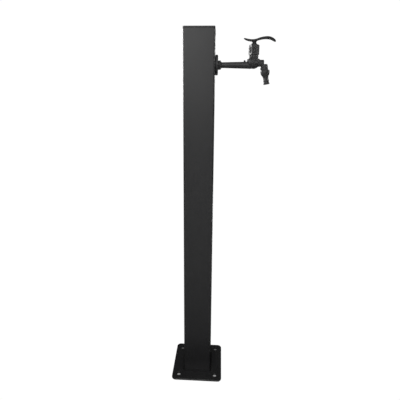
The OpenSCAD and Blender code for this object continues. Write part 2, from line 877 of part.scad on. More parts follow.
// Point of the centreline on the arc that holds it
function blade_point(s) =
    let (a = blade_slope(s))
    s < tail_l ? trough + tail_r * [sin(a), 1 - cos(a)] :
    s < tail_l + rise_l ? trough + rise_r * [sin(a), 1 - cos(a)] :
    s < tail_l + rise_l + crest_l ? bend + crest_r * [sin(rise_a) - sin(a), cos(a) - cos(rise_a)] :
    crest + tip_r * [-sin(a), cos(a) - 1];

// Share of the full section that is left where an end is rounded off
function blade_end(s) =
    let (near = min(s, lever_l - s, end_round), lack = 1 - near / end_round)
    max(sqrt(1 - lack * lack), end_least);

function blade_w(x) = lookup(x, [
    [tail_x, tail_w], [0, hub_w], [crest[0], crest_w], [tip_x, tip_w]]);

function blade_t(x) = lookup(x, [
    [tail_x, tail_t], [(tail_x + trough_x) / 2, thin_t], [0, hub_t],
    [bend[0] + thin_lag, thin_t], [crest[0] + crest_lag, crest_t], [tip_x, tip_t]]);

function rounded(v) = sign(v) * pow(abs(v), blade_power);

// Ring of points round the centreline, square to it
function blade_ring(s) =
    let (p = blade_point(s), a = blade_slope(s), share = blade_end(s))
    [for (k = [0 : lever_sides - 1])
        let (q = 360 * k / lever_sides,
             y = blade_w(p[0]) / 2 * share * rounded(cos(q)),
             n = blade_t(p[0]) / 2 * share * rounded(sin(q)))
        [p[0] - n * sin(a), y, p[1] + n * cos(a)]];

module blade() {
    last = lever_rings - 1;
    points = [for (i = [0 : last]) each blade_ring(lever_l * (1 - cos(180 * i / last)) / 2)];
    walls = [for (i = [0 : last - 1], k = [0 : lever_sides - 1])
        let (a = i * lever_sides + k, b = i * lever_sides + (k + 1) % lever_sides)
        each [[a, a + lever_sides, b], [b, a + lever_sides, b + lever_sides]]];
    foot = [for (k = [1 : lever_sides - 2]) [0, k, k + 1]];
    head = [for (k = [1 : lever_sides - 2])
        [last * lever_sides, last * lever_sides + k + 1, last * lever_sides + k]];
    polyhedron(points = points, faces = concat(walls, foot, head));
}

module lever() {
    hub_r = hub_d / 2;
    color(coat) at_valve(lever_foot) difference() {
        union() {
            blade();
            cylinder(r = hub_r, h = hub_h + lift_gap);
            cylinder(r1 = hub_r + hub_foot_t, r2 = hub_r, h = hub_foot_h);
            translate([0, 0, hub_h - hub_flare_h - lift_gap])
                cylinder(r1 = hub_r, r2 = hub_r + hub_flare_t, h = hub_flare_h);
        }
        translate([0, 0, -over])
            spindle_key(spindle_d + 2 * running_gap, flat_w + 2 * running_gap, hub_h + over);
        translate([0, 0, screw_rise]) rotate([-90, 0, 0]) cylinder(d = screw_d, h = hub_d);
    }
}

module lever_screw() {
    tip_y = flat_w / 2 + running_gap;
    color(steel) at_valve(lever_foot + screw_rise) translate([0, tip_y, 0]) rotate([-90, 0, 0])
        cylinder(d = screw_d - 2 * running_gap, h = hub_d / 2 - tip_y - lift_gap);
}

// Hose nozzle

module nozzle_washer() {
    color(rubber) at_outlet(washer_s) ring(spigot_d - 2 * running_gap, nozzle_bore_d, nozzle_washer_t);
}

// Outline of the nut, its hollow flare, the ringed hose tail and the end bead
module nozzle_outline() {
    nut_r = nozzle_d / 2;
    waist_r = nozzle_waist_d / 2;
    neck_r = nozzle_neck_d / 2;
    step = waist_r - neck_r;
    flare_r = (nozzle_flare_l * nozzle_flare_l + step * step) / (2 * step);
    difference() {
        union() {
            polygon([[0, 0], [nut_r - nozzle_chamfer, 0], [nut_r, nozzle_chamfer],
                     [nut_r, nozzle_nut_l], [waist_r, waist_n], [waist_r, neck_n], [0, neck_n]]);
            square([neck_r, nozzle_l]);
        }
        translate([neck_r + flare_r, neck_n]) circle(r = flare_r);
    }
    translate([0, tail_ring_n - tail_ring_w / 2]) square([tail_ring_d / 2, tail_ring_w]);
    translate([0, nozzle_l - tail_bead_l]) square([tail_bead_d / 2, tail_bead_l]);
}

module hose_nozzle() {
    color(coat) at_outlet(nozzle_s) difference() {
        rotate_extrude() nozzle_outline();
        translate([0, 0, -over]) cylinder(d = spigot_d + 2 * running_gap, h = nozzle_seat + over);
        cylinder(d = nozzle_bore_d, h = nozzle_l + over);
    }
}

base_plate();
post_tube();
base_weld();
post_cap();
inlet_socket();
inlet_adapter();
lower_compression_nut();
lower_olive();
riser_pipe();
upper_compression_nut();
upper_olive();
riser_elbow();
inner_washer();
back_nut();
wall_gasket();
wall_rosette();
tap_body();
seat_seal();
fixed_disc();
moving_disc();
cartridge_body();
cartridge_o_ring();
spindle();
spindle_o_rings();
stop_ring();
spindle_circlip();
bonnet();
lever();
lever_screw();
nozzle_washer();
hose_nozzle();
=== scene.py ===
"""Looks of a garden standpipe: a square post on a foot plate, with a lever tap near its top.

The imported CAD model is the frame. Each piece is modelled in millimetres, at the place that the
frame gives it, and set down in metres.
"""
import functools
import json
import logging
import math
from dataclasses import dataclass, replace
from enum import Enum

import bmesh
import bpy
from bmesh.types import BMEdge, BMesh, BMVert
from mathutils import Matrix, Vector


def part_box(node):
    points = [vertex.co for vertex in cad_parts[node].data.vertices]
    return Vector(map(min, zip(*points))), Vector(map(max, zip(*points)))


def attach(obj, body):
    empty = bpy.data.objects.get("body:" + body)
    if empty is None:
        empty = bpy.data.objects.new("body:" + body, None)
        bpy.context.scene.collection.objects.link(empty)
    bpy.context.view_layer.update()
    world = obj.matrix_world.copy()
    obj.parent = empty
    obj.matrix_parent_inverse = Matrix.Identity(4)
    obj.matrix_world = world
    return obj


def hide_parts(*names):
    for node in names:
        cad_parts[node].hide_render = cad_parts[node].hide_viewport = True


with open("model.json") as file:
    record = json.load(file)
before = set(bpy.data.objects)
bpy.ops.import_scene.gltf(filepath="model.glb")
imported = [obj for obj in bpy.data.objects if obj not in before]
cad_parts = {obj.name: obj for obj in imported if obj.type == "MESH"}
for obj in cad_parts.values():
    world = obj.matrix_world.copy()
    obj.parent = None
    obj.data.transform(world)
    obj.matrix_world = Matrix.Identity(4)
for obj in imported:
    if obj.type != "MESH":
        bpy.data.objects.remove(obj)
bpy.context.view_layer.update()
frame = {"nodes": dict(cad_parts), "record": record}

Triple = tuple[float, float, float]
LOG = logging.getLogger("standpipe")
MM = 0.001
FULL_TURN = 2 * math.pi
# Corners of CAD triangles that are nearer to each other than this, in millimetres, are one point.
MERGE_MM = 0.002
# A point that is nearer to a CAD face than this, in millimetres, counts as on it.
NEAR_MM = 0.05
# Blender's noise hardly leaves this range, so a finish takes it as the whole of its drift.
NOISE_LOW, NOISE_HIGH = 0.3, 0.7
# Pointiness at which the high spots start to be lightened and at which they are fully lightened grey,
# partly as rubbed wear and partly as a painted highlight. A flat has 0.5.
RUB_AND_SHEEN_START, RUB_AND_SHEEN_FULL = 0.505, 0.56
# The colour sockets of the Mix node, which has a set of sockets of the same names for each type.
MIX_FACTOR, MIX_FROM, MIX_TO, MIX_RESULT = 0, 6, 7, 2
# Where a thread's flank ends and where its ridge ends, as shares of the pitch.
FLANK_SHARE, RIDGE_SHARE = 0.42, 0.98
# How much narrower than its middle a leaf is at its tip.
LEAF_TAPER = 0.75
# How far one smoothing pass moves a point towards the middle of its neighbours.
SMOOTH_SHARE = 0.5
WHITE = "#ffffff"


class Body(Enum):
    """The bodies of the frame that pieces ride on."""

    STAND = "stand"
    LEVER = "valve_lever"
    NOZZLE = "nozzle"


def linear(code: str) -> tuple[float, ...]:
    """Turns an sRGB colour into linear light.

    Args:
        code: A hash and six hex digits.

    Returns:
        Red, green, blue and a full alpha.
    """
    parts = [int(code[i:i + 2], 16) / 255 for i in (1, 3, 5)]
    return tuple(p / 12.92 if p <= 0.04045 else ((p + 0.055) / 1.055) ** 2.4 for p in parts) + (1.0,)


def per_mm(size: float) -> float:
    """Texture scale at which one feature measures that many millimetres."""
    return 1 / (size * MM)


def clamped(share: float) -> float:
    """Brings a share into the range from 0 to 1."""
    return min(max(share, 0), 1)


def add_node(tree: bpy.types.NodeTree, kind: str, settings: dict | None = None,
             links: dict | None = None) -> bpy.types.Node:
    """Adds a shader node.

    Args:
        tree: The node tree that takes it.
        kind: The node's type name.
        settings: Values of its inputs or its own properties, by name.
        links: Output sockets that feed its inputs, by the input's name.

    Returns:
        The new node.
    """
    node = tree.nodes.new(kind)
    for name, value in (settings or {}).items():
        if name in node.inputs:
            node.inputs[name].default_value = value
        else:
            setattr(node, name, value)
    for name, source in (links or {}).items():
        tree.links.new(source, node.inputs[name])
    return node


@dataclass(frozen=True)
class Finish:
    """A finish of a real surface, which becomes one procedural material.

    The colour drifts between two tones in soft patches, and a fine grain moves the gloss and
    lifts the surface.
    """

    name: str
    slot: str
    dark: str
    light: str
    roughness: float
    gloss_drift: float
    patch_mm: float
    grain_mm: float
    grain_depth_mm: float
    metallic: float = 0.0
    stretch: Triple = (1.0, 1.0, 1.0)
    wear_and_sheen: str = ""
    specular: float = 0.5

    @functools.cache
    def material(self) -> bpy.types.Material:
        """Makes the material on first use.

        Returns:
            The material, the same one at each call.
        """
        material = bpy.data.materials.new(self.name)
        material.use_nodes = True
        tree = material.node_tree
        shader = tree.nodes["Principled BSDF"]
        shader.inputs["Metallic"].default_value = self.metallic
        shader.inputs["Specular IOR Level"].default_value = self.specular
        coords = add_node(tree, "ShaderNodeTexCoord").outputs["Object"]
        drawn = add_node(tree, "ShaderNodeMapping", {"Scale": self.stretch}, {"Vector": coords})
        along = {"Vector": drawn.outputs["Vector"]}
        patches, grain = (
            add_node(tree, "ShaderNodeTexNoise", {"Scale": per_mm(size), "Detail": detail}, along)
            for size, detail in ((self.patch_mm, 4.0), (self.grain_mm, 2.0)))
        tone = add_node(tree, "ShaderNodeValToRGB", {}, {"Fac": patches.outputs["Fac"]})
        stops = zip(tone.color_ramp.elements, (NOISE_LOW, NOISE_HIGH), (self.dark, self.light))
        for stop, position, shade in stops:
            stop.position = position
            stop.color = linear(shade)
        colour = tone.outputs["Color"]
        # High spots are lightened: partly rubbed wear, partly a painted highlight.
        if self.wear_and_sheen:
            colour = self.worn_and_highlit(tree, colour)
        gloss = add_node(tree, "ShaderNodeMapRange", {
            "From Min": NOISE_LOW, "From Max": NOISE_HIGH,
            "To Min": self.roughness - self.gloss_drift, "To Max": self.roughness + self.gloss_drift,
        }, {"Value": grain.outputs["Fac"]})
        depth = {"Strength": 1.0, "Distance": self.grain_depth_mm * MM}
        bump = add_node(tree, "ShaderNodeBump", depth, {"Height": grain.outputs["Fac"]})
        tree.links.new(colour, shader.inputs["Base Color"])
        tree.links.new(gloss.outputs["Result"], shader.inputs["Roughness"])
        tree.links.new(bump.outputs["Normal"], shader.inputs["Normal"])
        return material

    def worn_and_highlit(self, tree: bpy.types.NodeTree, colour: bpy.types.NodeSocket) -> bpy.types.NodeSocket:
        """Lightens the high spots: partly rubbed wear, partly a painted highlight on the relief.

        Args:
            tree: The material's node tree.
            colour: The colour before the lightening.

        Returns:
            The colour with its high spots lightened.
        """
        bulge = add_node(tree, "ShaderNodeNewGeometry").outputs["Pointiness"]
        span = {"From Min": RUB_AND_SHEEN_START, "From Max": RUB_AND_SHEEN_FULL}
        amount = add_node(tree, "ShaderNodeMapRange", span, {"Value": bulge})
        mix = add_node(tree, "ShaderNodeMix", {"data_type": "RGBA"})
        tree.links.new(amount.outputs["Result"], mix.inputs[MIX_FACTOR])
        tree.links.new(colour, mix.inputs[MIX_FROM])
        mix.inputs[MIX_TO].default_value = linear(self.wear_and_sheen)
        return mix.outputs[MIX_RESULT]


# Satin black powder coat, baked on steel: an even dark skin with a soft sheen and a slight
# orange peel, which is drawn at several times its real size so that it shows.
COAT_ON_STEEL = Finish(
    "satin_powder_coat_on_steel", "powder_coated_steel", "#171718", "#1b1b1c",
    roughness=0.46, gloss_drift=0.03, patch_mm=70, grain_mm=2.6, grain_depth_mm=0.012)
# The same coat on a sand casting: the sand's grain shows through it, and its high spots are lightened
# grey, partly as rubbed wear and partly as a painted highlight on the relief.
COAT_ON_CASTING = Finish(
    "satin_powder_coat_on_cast_brass", "powder_coated_brass", "#212122", "#2b2b2c",
    roughness=0.52, gloss_drift=0.03, patch_mm=9, grain_mm=1.6, grain_depth_mm=0.01, wear_and_sheen="#363637")
# The coat where it lies thin and dull over the weld, in the corner of post and plate. Its darker tone
# is painted shade for that corner.
WELD_COAT_WITH_PAINTED_SHADE = replace(
    COAT_ON_STEEL, name="dull_powder_coat_on_weld_with_painted_shade", dark="#0c0c0d", light="#111112",
    roughness=0.72, specular=0.12)
# The coat on the forged lever: a little darker than on the casting, with no lightened high spots.
COAT_ON_LEVER = replace(
    COAT_ON_CASTING, name="satin_powder_coat_on_forged_brass", dark="#1a1a1b", light="#1f1f20", wear_and_sheen="")
# Injection-moulded polypropylene: matt black with a fine spark-eroded grain, drawn coarse.
MOULDED_PLASTIC = Finish(
    "moulded_black_polypropylene", "black_plastic", "#19191a", "#1f1f20",
    roughness=0.5, gloss_drift=0.04, patch_mm=40, grain_mm=1.4, grain_depth_mm=0.02)
# Turned brass: warm yellow metal with fine tool marks and a touch of tarnish.
TURNED_BRASS = Finish(
    "turned_brass", "brass", "#a8843f", "#c39d57", roughness=0.3, gloss_drift=0.08,
    patch_mm=12, grain_mm=0.8, grain_depth_mm=0.01, metallic=1.0, stretch=(0.3, 0.3, 1.0))
# Drawn copper pipe: long streaks from the die, and brown patches of oxide.
DRAWN_COPPER = Finish(
    "drawn_copper_pipe", "copper", "#8f5334", "#bd7650", roughness=0.35, gloss_drift=0.1,
    patch_mm=25, grain_mm=1.2, grain_depth_mm=0.01, metallic=1.0, stretch=(1.0, 1.0, 0.05))
# Zinc-plated steel: a pale, slightly cloudy metal.
PLATED_STEEL = Finish(
    "zinc_plated_steel", "steel", "#8b8e91", "#a9acaf", roughness=0.38, gloss_drift=0.08,
    patch_mm=5, grain_mm=0.6, grain_depth_mm=0.008, metallic=1.0)
# Moulded EPDM rubber: dull charcoal with a dusty bloom.
MOULDED_RUBBER = Finish(
    "moulded_epdm_rubber", "rubber", "#161616", "#242424", roughness=0.8, gloss_drift=0.06,
    patch_mm=6, grain_mm=0.7, grain_depth_mm=0.02)
# Lapped alumina: an off-white ceramic with an almost polished face.
LAPPED_CERAMIC = Finish(
    "lapped_alumina_ceramic", "ceramic", "#dfdbd0", "#ece9e0", roughness=0.22, gloss_drift=0.04,
    patch_mm=8, grain_mm=0.5, grain_depth_mm=0.003)


def box_mm(node: str) -> tuple[Vector, Vector]:
    """Lowest and highest corner of a CAD node, in millimetres."""
    low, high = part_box(node)
    return low / MM, high / MM


def joint_axis(name: str) -> Matrix:
    """Gives the place and direction of a joint.

    Args:
        name: The joint's name in the record.

    Returns:
        A matrix in millimetres that moves the origin to the joint and Z on to its axis, turned
        about Y alone.
    """
    joint = next(j for j in frame["record"]["behaviour"]["joints"] if j["name"] == name)
    axis = Vector(joint["axis"])
    turn = Matrix.Rotation(math.atan2(axis.x, axis.z), 4, "Y")
    return Matrix.Translation(Vector(joint["pos_m"]) / MM) @ turn


def copy_of(node: str) -> BMesh:
    """Copies a CAD node as one joined mesh in millimetres.

    Args:
        node: The node's name.

    Returns:
        The copy, with its triangles joined.
    """
    bm = bmesh.new()
    bm.from_mesh(frame["nodes"][node].data)
    bmesh.ops.scale(bm, vec=(1 / MM,) * 3, verts=bm.verts)
    bmesh.ops.remove_doubles(bm, verts=bm.verts, dist=MERGE_MM)
    return bm


def in_scene(name: str, data: bpy.types.ID) -> bpy.types.Object:
    """Adds an object to the scene.

    Args:
        name: Its name.
        data: Its mesh, lamp or camera.

    Returns:
        The object.
    """
    made = bpy.data.objects.new(name, data)
    bpy.context.scene.collection.objects.link(made)
    return made


def meshed(bm: BMesh, name: str) -> bpy.types.Object:
    """Adds a mesh to the scene.

    Args:
        bm: The mesh, which is used up.
        name: The name of the mesh and its object.

    Returns:
        The object.
    """
    mesh = bpy.data.meshes.new(name)
    bm.to_mesh(mesh)
    bm.free()
    return in_scene(name, mesh)


def evaluated(bm: BMesh, kind: str, **settings: object) -> BMesh:
    """Runs one modifier over a mesh.

    Args:
        bm: The mesh, which is used up.
        kind: The modifier's type.
        **settings: The modifier's properties.

    Returns:
        The finished mesh.
    """
    blank = meshed(bm, "blank")
    modifier = blank.modifiers.new(kind.lower(), kind)
    for name, value in settings.items():
        setattr(modifier, name, value)
    done = bpy.data.meshes.new_from_object(blank.evaluated_get(bpy.context.evaluated_depsgraph_get()))
    result = bmesh.new()
    result.from_mesh(done)
    for spent in (blank.data, done):
        bpy.data.meshes.remove(spent)
    return result


def fused(bm: BMesh, voxel_mm: float, passes: int) -> BMesh:
    """Melts overlapping shells into one skin with eased edges, as a casting has.

    Args:
        bm: The shells, which are used up.
        voxel_mm: The fineness of the skin.
        passes: How often the skin is smoothed.

    Returns:
        The skin.
    """
    skin = evaluated(bm, "REMESH", mode="VOXEL", voxel_size=voxel_mm)
    for _ in range(passes):
        bmesh.ops.smooth_vert(skin, verts=skin.verts, factor=SMOOTH_SHARE,
                              use_axis_x=True, use_axis_y=True, use_axis_z=True)
    return skin


def bored(bm: BMesh, cutter: BMesh) -> BMesh:
    """Cuts one mesh out of another.

    Args:
        bm: The mesh that is cut; it is used up.
        cutter: The mesh that is taken away; it is used up.

    Returns:
        What is left.
    """
    tool = meshed(cutter, "cutter")
    left = evaluated(bm, "BOOLEAN", operation="DIFFERENCE", solver="EXACT", object=tool)
    bpy.data.meshes.remove(tool.data)
    return left


def outward(bm: BMesh) -> BMesh:
    """Turns a mesh's faces outwards and gives the mesh back."""
    bmesh.ops.recalc_face_normals(bm, faces=bm.faces)
    return bm


def turned(outline: list[Triple], steps: int = 96) -> BMesh:
    """Turns a closed outline about Z, as on a lathe.

    Args:
        outline: Radius, height and corner radius of each point.
        steps: How many facets a full turn has.

    Returns:
        The turned piece.
    """
    bm = bmesh.new()
    points = [bm.verts.new((radius, 0, height)) for radius, height, _ in outline]
    for start, end in zip(points, points[1:] + points[:1]):
        bm.edges.new((start, end))
    for point, (_, _, corner) in zip(points, outline):
        if corner:
            bmesh.ops.bevel(bm, geom=[point], offset=corner, offset_type="OFFSET", affect="VERTICES",
                            segments=5, profile=0.5, material=-1)
    bmesh.ops.spin(bm, geom=bm.verts[:] + bm.edges[:], cent=(0, 0, 0), axis=(0, 0, 1), dvec=(0, 0, 0),
                   angle=FULL_TURN, steps=steps, use_merge=True, use_duplicate=False)
    return outward(bm)


def threaded(root_r: float, crest_r: float, pitch: float, length: float, per_turn: int = 60) -> BMesh:
    """Winds a thread's ridge up Z.

    Args:
        root_r: Radius at the ridge's root.
        crest_r: Radius at its crest.
        pitch: Rise in one turn.
        length: Length of the thread.
        per_turn: How many facets a full turn has.

    Returns:
        The ridge, closed at both ends.
    """
    bm = bmesh.new()
    flank = FLANK_SHARE * pitch
    section = ((root_r, 0), (crest_r, flank), (crest_r, pitch - flank), (root_r, RIDGE_SHARE * pitch))
    points = [bm.verts.new((radius, 0, height)) for radius, height in section]
    edges = [bm.edges.new(pair) for pair in zip(points, points[1:] + points[:1])]
    steps = round(per_turn * (length / pitch - 1))
    bmesh.ops.spin(bm, geom=points + edges, cent=(0, 0, 0), axis=(0, 0, 1), dvec=(0, 0, pitch / per_turn),
                   angle=FULL_TURN * steps / per_turn, steps=steps, use_merge=False, use_duplicate=False)
    bmesh.ops.holes_fill(bm, edges=[e for e in bm.edges if e.is_boundary])
    return outward(bm)


def square_loop(bm: BMesh, side: float, corner_r: float, height: float) -> list[BMEdge]:
    """Adds a level outline of a square with round corners.

    Args:
        bm: The mesh that takes it.
        side: Width of the square.
        corner_r: Radius of its corners.
        height: Height of the outline.

    Returns:
        The outline's edges.
    """
    known = set(bm.faces)
    sheet = bmesh.ops.create_grid(bm, x_segments=1, y_segments=1, size=side / 2,
                                  matrix=Matrix.Translation((0, 0, height)))
    bmesh.ops.bevel(bm, geom=sheet["verts"], offset=corner_r, offset_type="OFFSET", affect="VERTICES",
                    segments=8, profile=0.5, material=-1)
    face = next(f for f in bm.faces if f not in known)
    edges = list(face.edges)
    bmesh.ops.delete(bm, geom=[face], context="FACES_ONLY")
    return edges


def round_loop(bm: BMesh, radius: float, centre: Triple) -> list[BMEdge]:
    """Adds a level circle.

    Args:
        bm: The mesh that takes it.
        radius: The circle's radius.
        centre: The circle's centre.

    Returns:
        The circle's edges.
    """
    made = bmesh.ops.create_circle(bm, cap_ends=False, radius=radius, segments=48,
                                   matrix=Matrix.Translation(centre))
    return list({edge for vert in made["verts"] for edge in vert.link_edges})


def skinned(bm: BMesh, loops: list[list[BMEdge]]) -> None:
    """Stretches a skin from each outline to the next."""
    for start, end in zip(loops, loops[1:]):
        bmesh.ops.bridge_loops(bm, edges=start + end)


def eased(radius: float, steps: int = 4) -> list[tuple[float, float]]:
    """Works out a rounded edge.

    Args:
        radius: The edge's radius.
        steps: How many facets it has.

    Returns:
        Inset from the wall and depth below the face of each step, from wall to face.
    """
    angles = [math.pi / 2 * i / steps for i in range(steps + 1)]
    return [(radius * (1 - math.cos(a)), radius * (1 - math.sin(a))) for a in angles]


def leaf(bm: BMesh, size: Triple, spot: Matrix) -> None:
    """Adds a raised leaf that points along the spot's X.

    Args:
        bm: The mesh that takes it.
        size: Length, width and height.
        spot: Where the leaf's middle sits, with Z out of the surface.
    """
    length, width, height = size
    made = bmesh.ops.create_icosphere(bm, subdivisions=3, radius=1)["verts"]
    for vert in made:
        taper = 1 - LEAF_TAPER * max(vert.co.x, 0)
        vert.co = Vector((vert.co.x * length / 2, vert.co.y * width / 2 * taper, vert.co.z * height))
    bmesh.ops.transform(bm, matrix=spot, verts=made)


def place(bm: BMesh, name: str, finish: Finish, body: Body, *nodes: str,
          sharp_deg: float = 35) -> None:
    """Sets a finished mesh down in the frame.

    Args:
        bm: The mesh in millimetres, which is used up.
        name: The piece's name.
        finish: Its finish.
        body: The body that it rides on.
        *nodes: The CAD nodes that it stands for.
        sharp_deg: The angle from which an edge looks sharp.
    """
    bmesh.ops.scale(bm, vec=(MM,) * 3, verts=bm.verts)
    piece = meshed(bm, name)
    piece.data.shade_smooth()
    piece.data.set_sharp_from_angle(angle=math.radians(sharp_deg))
    piece.data.materials.append(finish.material())
    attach(piece, body.value)
    if nodes:
        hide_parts(*nodes)
    LOG.info("%s: %d faces on %s", name, len(piece.data.polygons), body.value)


def dress(finish: Finish, *nodes: str) -> None:
    """Gives CAD nodes that keep their own shape a finish.

    Args:
        finish: The finish.
        *nodes: The nodes' names.
    """
    for node in nodes:
        for holder in frame["nodes"][node].material_slots:
            holder.material = finish.material()
        LOG.info("%s: dressed in %s", node, finish.name)


@dataclass
class Foot:
    """Foot plate with its anchor holes, the weld round the post and the supply socket."""

    corner_r: float = 12.0
    edge_r: float = 1.6
    hole_edge_r: float = 0.7
    socket_hole_r: float = 13.55
    post_corner_r: float = 3.0
    weld_leg: float = 3.0
    weld_bulge: float = 0.35
    weld_steps: int = 6
    straight_l: float = 20.0
    straight_cuts: int = 110
    ripple_pitch: float = 2.8
    ripple_depth: float = 0.22

    def plate(self) -> BMesh:
        """Builds the plate from outlines that step round its eased edges.

        Returns:
            The plate.
        """
        low, high = box_mm("base_plate")
        side, thick = high.x - low.x, high.z
        bolts = next(m for m in frame["record"]["mounts"] if m["name"] == "base_bolts")["dims"]
        half_x, half_y = bolts["spacing_x_mm"] / 2, bolts["spacing_y_mm"] / 2
        holes = [(x, y, bolts["hole_r_mm"]) for x in (-half_x, half_x) for y in (-half_y, half_y)]
        holes.append((0.0, 0.0, self.socket_hole_r))
        bm = bmesh.new()
        rim, lip = (
            [*reversed(eased(edge_r)), *((inset, thick - drop) for inset, drop in eased(edge_r))]
            for edge_r in (self.edge_r, self.hole_edge_r))
        walls = [[square_loop(bm, side - 2 * inset, self.corner_r - inset, z) for inset, z in rim]]
        for x, y, radius in holes:
            walls.append([round_loop(bm, radius + inset, (x, y, z)) for inset, z in lip])
        for wall in walls:
            skinned(bm, wall)
        for end in (0, -1):
            bmesh.ops.triangle_fill(bm, use_beauty=True, edges=[e for wall in walls for e in wall[end]])
        return outward(bm)

    def weld(self) -> BMesh:
        """Builds the rippled fillet weld round the post.

        Returns:
            The weld.
        """
        low, high = box_mm("base_weld")
        post_side = high.x - low.x - 2 * self.weld_leg
        bm = bmesh.new()
        loops = []
        for i in range(self.weld_steps + 1):
            share = i / self.weld_steps
            angle = math.pi / 2 * i / self.weld_steps
            flat = Vector((1 - share, share)) * self.weld_leg
            crown = Vector((math.cos(angle), math.sin(angle))) * self.weld_leg
            out, rise = flat.lerp(crown, self.weld_bulge)
            loops.append(square_loop(bm, post_side + 2 * out, self.post_corner_r + out, low.z + rise))
        inner = square_loop(bm, post_side, self.post_corner_r, low.z)
        straights = [e for e in bm.edges if e.calc_length() > self.straight_l]
        bmesh.ops.subdivide_edges(bm, edges=straights, cuts=self.straight_cuts)
        loops = [self.whole_loop(edges[0]) for edges in loops]
        for loop in loops[1:-1]:
            self.rippled({vert for edge in loop for vert in edge.verts})
        inner = self.whole_loop(inner[0])
        skinned(bm, [inner] + loops + [inner])
        return outward(bm)

    @staticmethod
    def whole_loop(edge: BMEdge) -> list[BMEdge]:
        """Collects a closed outline.

        Args:
            edge: One of its edges.

        Returns:
            All of its edges, in order.
        """
        found, vert, start = [edge], edge.verts[1], edge.verts[0]
        while vert is not start:
            edge = next(e for e in vert.link_edges if e is not edge)
            found.append(edge)
            vert = edge.other_vert(vert)
        return found

    def rippled(self, verts: set[BMVert]) -> None:
        """Moves an outline of the weld in and out along its run, as a hand-laid bead does.

        Args:
            verts: The outline's points.
        """
        run, last = 0.0, None
        for vert in sorted(verts, key=lambda v: math.atan2(v.co.y, v.co.x)):
            run += (vert.co - last).length if last else 0.0
            last = vert.co.copy()
            wave = 1 + math.sin(FULL_TURN * run / self.ripple_pitch)
            vert.co -= Vector((vert.co.x, vert.co.y, 0)).normalized() * self.ripple_depth * wave / 2

    def build(self) -> None:
        """Places the foot's pieces."""
        place(self.plate(), "foot_plate", COAT_ON_STEEL, Body.STAND, "base_plate")
        # The weld's coat is painted darker, as shade in the corner of post and plate.
        place(self.weld(), "foot_weld", WELD_COAT_WITH_PAINTED_SHADE, Body.STAND, "base_weld", sharp_deg=60)
        dress(COAT_ON_STEEL, "inlet_socket")


@dataclass
class Post:
    """Square tube and the cap that closes it."""

    corner_r: float = 3.0
    inner_r: float = 1.0
    wall: float = 2.0
    tap_hole_r: float = 10.98
    cap_edge_r: float = 1.7
    cap_foot_r: float = 0.4
    skirt_gap: float = 1.0
    skirt_wall: float = 2.0
    grip_gap: float = 0.1
    rib_t: float = 1.2
    rib_count: int = 3
    rib_root: float = 0.7
    rib_crest: float = 0.4

    def tube(self) -> BMesh:
        """Builds the tube, with the hole for the tap's tail.

        Returns:
            The tube.
        """
        low, high = box_mm("post_tube")
        side = high.x - low.x
        inner = side - 2 * self.wall
        bm = bmesh.new()
        outer = [square_loop(bm, side, self.corner_r, z) for z in (low.z, high.z)]
        bore = [square_loop(bm, inner, self.inner_r, z) for z in (high.z, low.z)]
        skinned(bm, outer + bore + outer[:1])
        drill = bmesh.new()
        gasket_low, gasket_high = box_mm("wall_gasket")
        across = Matrix.Translation((side / 2, 0, (gasket_low.z + gasket_high.z) / 2))
        bmesh.ops.create_cone(drill, cap_ends=True, segments=64, radius1=self.tap_hole_r,
                              radius2=self.tap_hole_r, depth=4 * self.wall,
                              matrix=across @ Matrix.Rotation(math.pi / 2, 4, "Y"))
        return bored(outward(bm), drill)

    def cap(self) -> BMesh:
        """Builds the cap with its eased edge, its skirt and the gripping ribs.

        Returns:
            The cap.
        """
        low, high = box_mm("post_cap")
        tube_low, tube_high = box_mm("post_tube")
        side, seat = high.x - low.x, tube_high.z
        bore = tube_high.x - tube_low.x - 2 * self.wall
        edge_r = self.corner_r + (side - tube_high.x + tube_low.x) / 2
        skirt, grip = bore - 2 * self.skirt_gap, bore - self.grip_gap
        hollow = skirt - 2 * self.skirt_wall
        steps = [(inset, high.z - drop) for inset, drop in reversed(eased(self.cap_edge_r))]
        steps += [(inset, seat + drop) for inset, drop in eased(self.cap_foot_r)]
        rows = [(side - 2 * inset, edge_r - inset, z) for inset, z in steps]
        rows.append((skirt, self.inner_r, seat))
        pitch = (seat - low.z) / (self.rib_count + 1)
        rib = ((skirt, self.rib_root), (grip, self.rib_crest),
               (grip, -self.rib_crest), (skirt, -self.rib_root))
        for i in range(self.rib_count):
            middle = seat - (i + 1) * pitch
            rows += [(width, self.inner_r, middle + rise * self.rib_t) for width, rise in rib]
        rows += [(width, self.inner_r, z) for width, z in ((skirt, low.z), (hollow, low.z), (hollow, seat))]
        bm = bmesh.new()
        loops = [square_loop(bm, *row) for row in rows]
        skinned(bm, loops)
        for end in (0, -1):
            bmesh.ops.edgeloop_fill(bm, edges=loops[end])
        return outward(bm)

    def build(self) -> None:
        """Places the post's pieces."""
        place(self.tube(), "square_post", COAT_ON_STEEL, Body.STAND, "post_tube")
        place(self.cap(), "push_in_cap", MOULDED_PLASTIC, Body.STAND, "post_cap")


@dataclass
class Riser:
    """Supply fittings and pipe inside the post, which keep the frame's own shapes."""

    brass: tuple[str, ...] = ("inlet_adapter", "lower_compression_nut", "lower_olive",
                              "upper_compression_nut", "upper_olive", "riser_elbow", "back_nut")
    copper: tuple[str, ...] = ("riser_pipe",)
    steel: tuple[str, ...] = ("inner_washer",)

    def build(self) -> None:
        """Dresses the riser."""
        dress(TURNED_BRASS, *self.brass)
        dress(DRAWN_COPPER, *self.copper)
        dress(PLATED_STEEL, *self.steel)


@dataclass(frozen=True)
class LeafRing:
    """A ring of upright leaves round the valve's axis, at a height above the arm's axis."""

    rise: float
    radius: float
    tilt_deg: float
    leaf: Triple


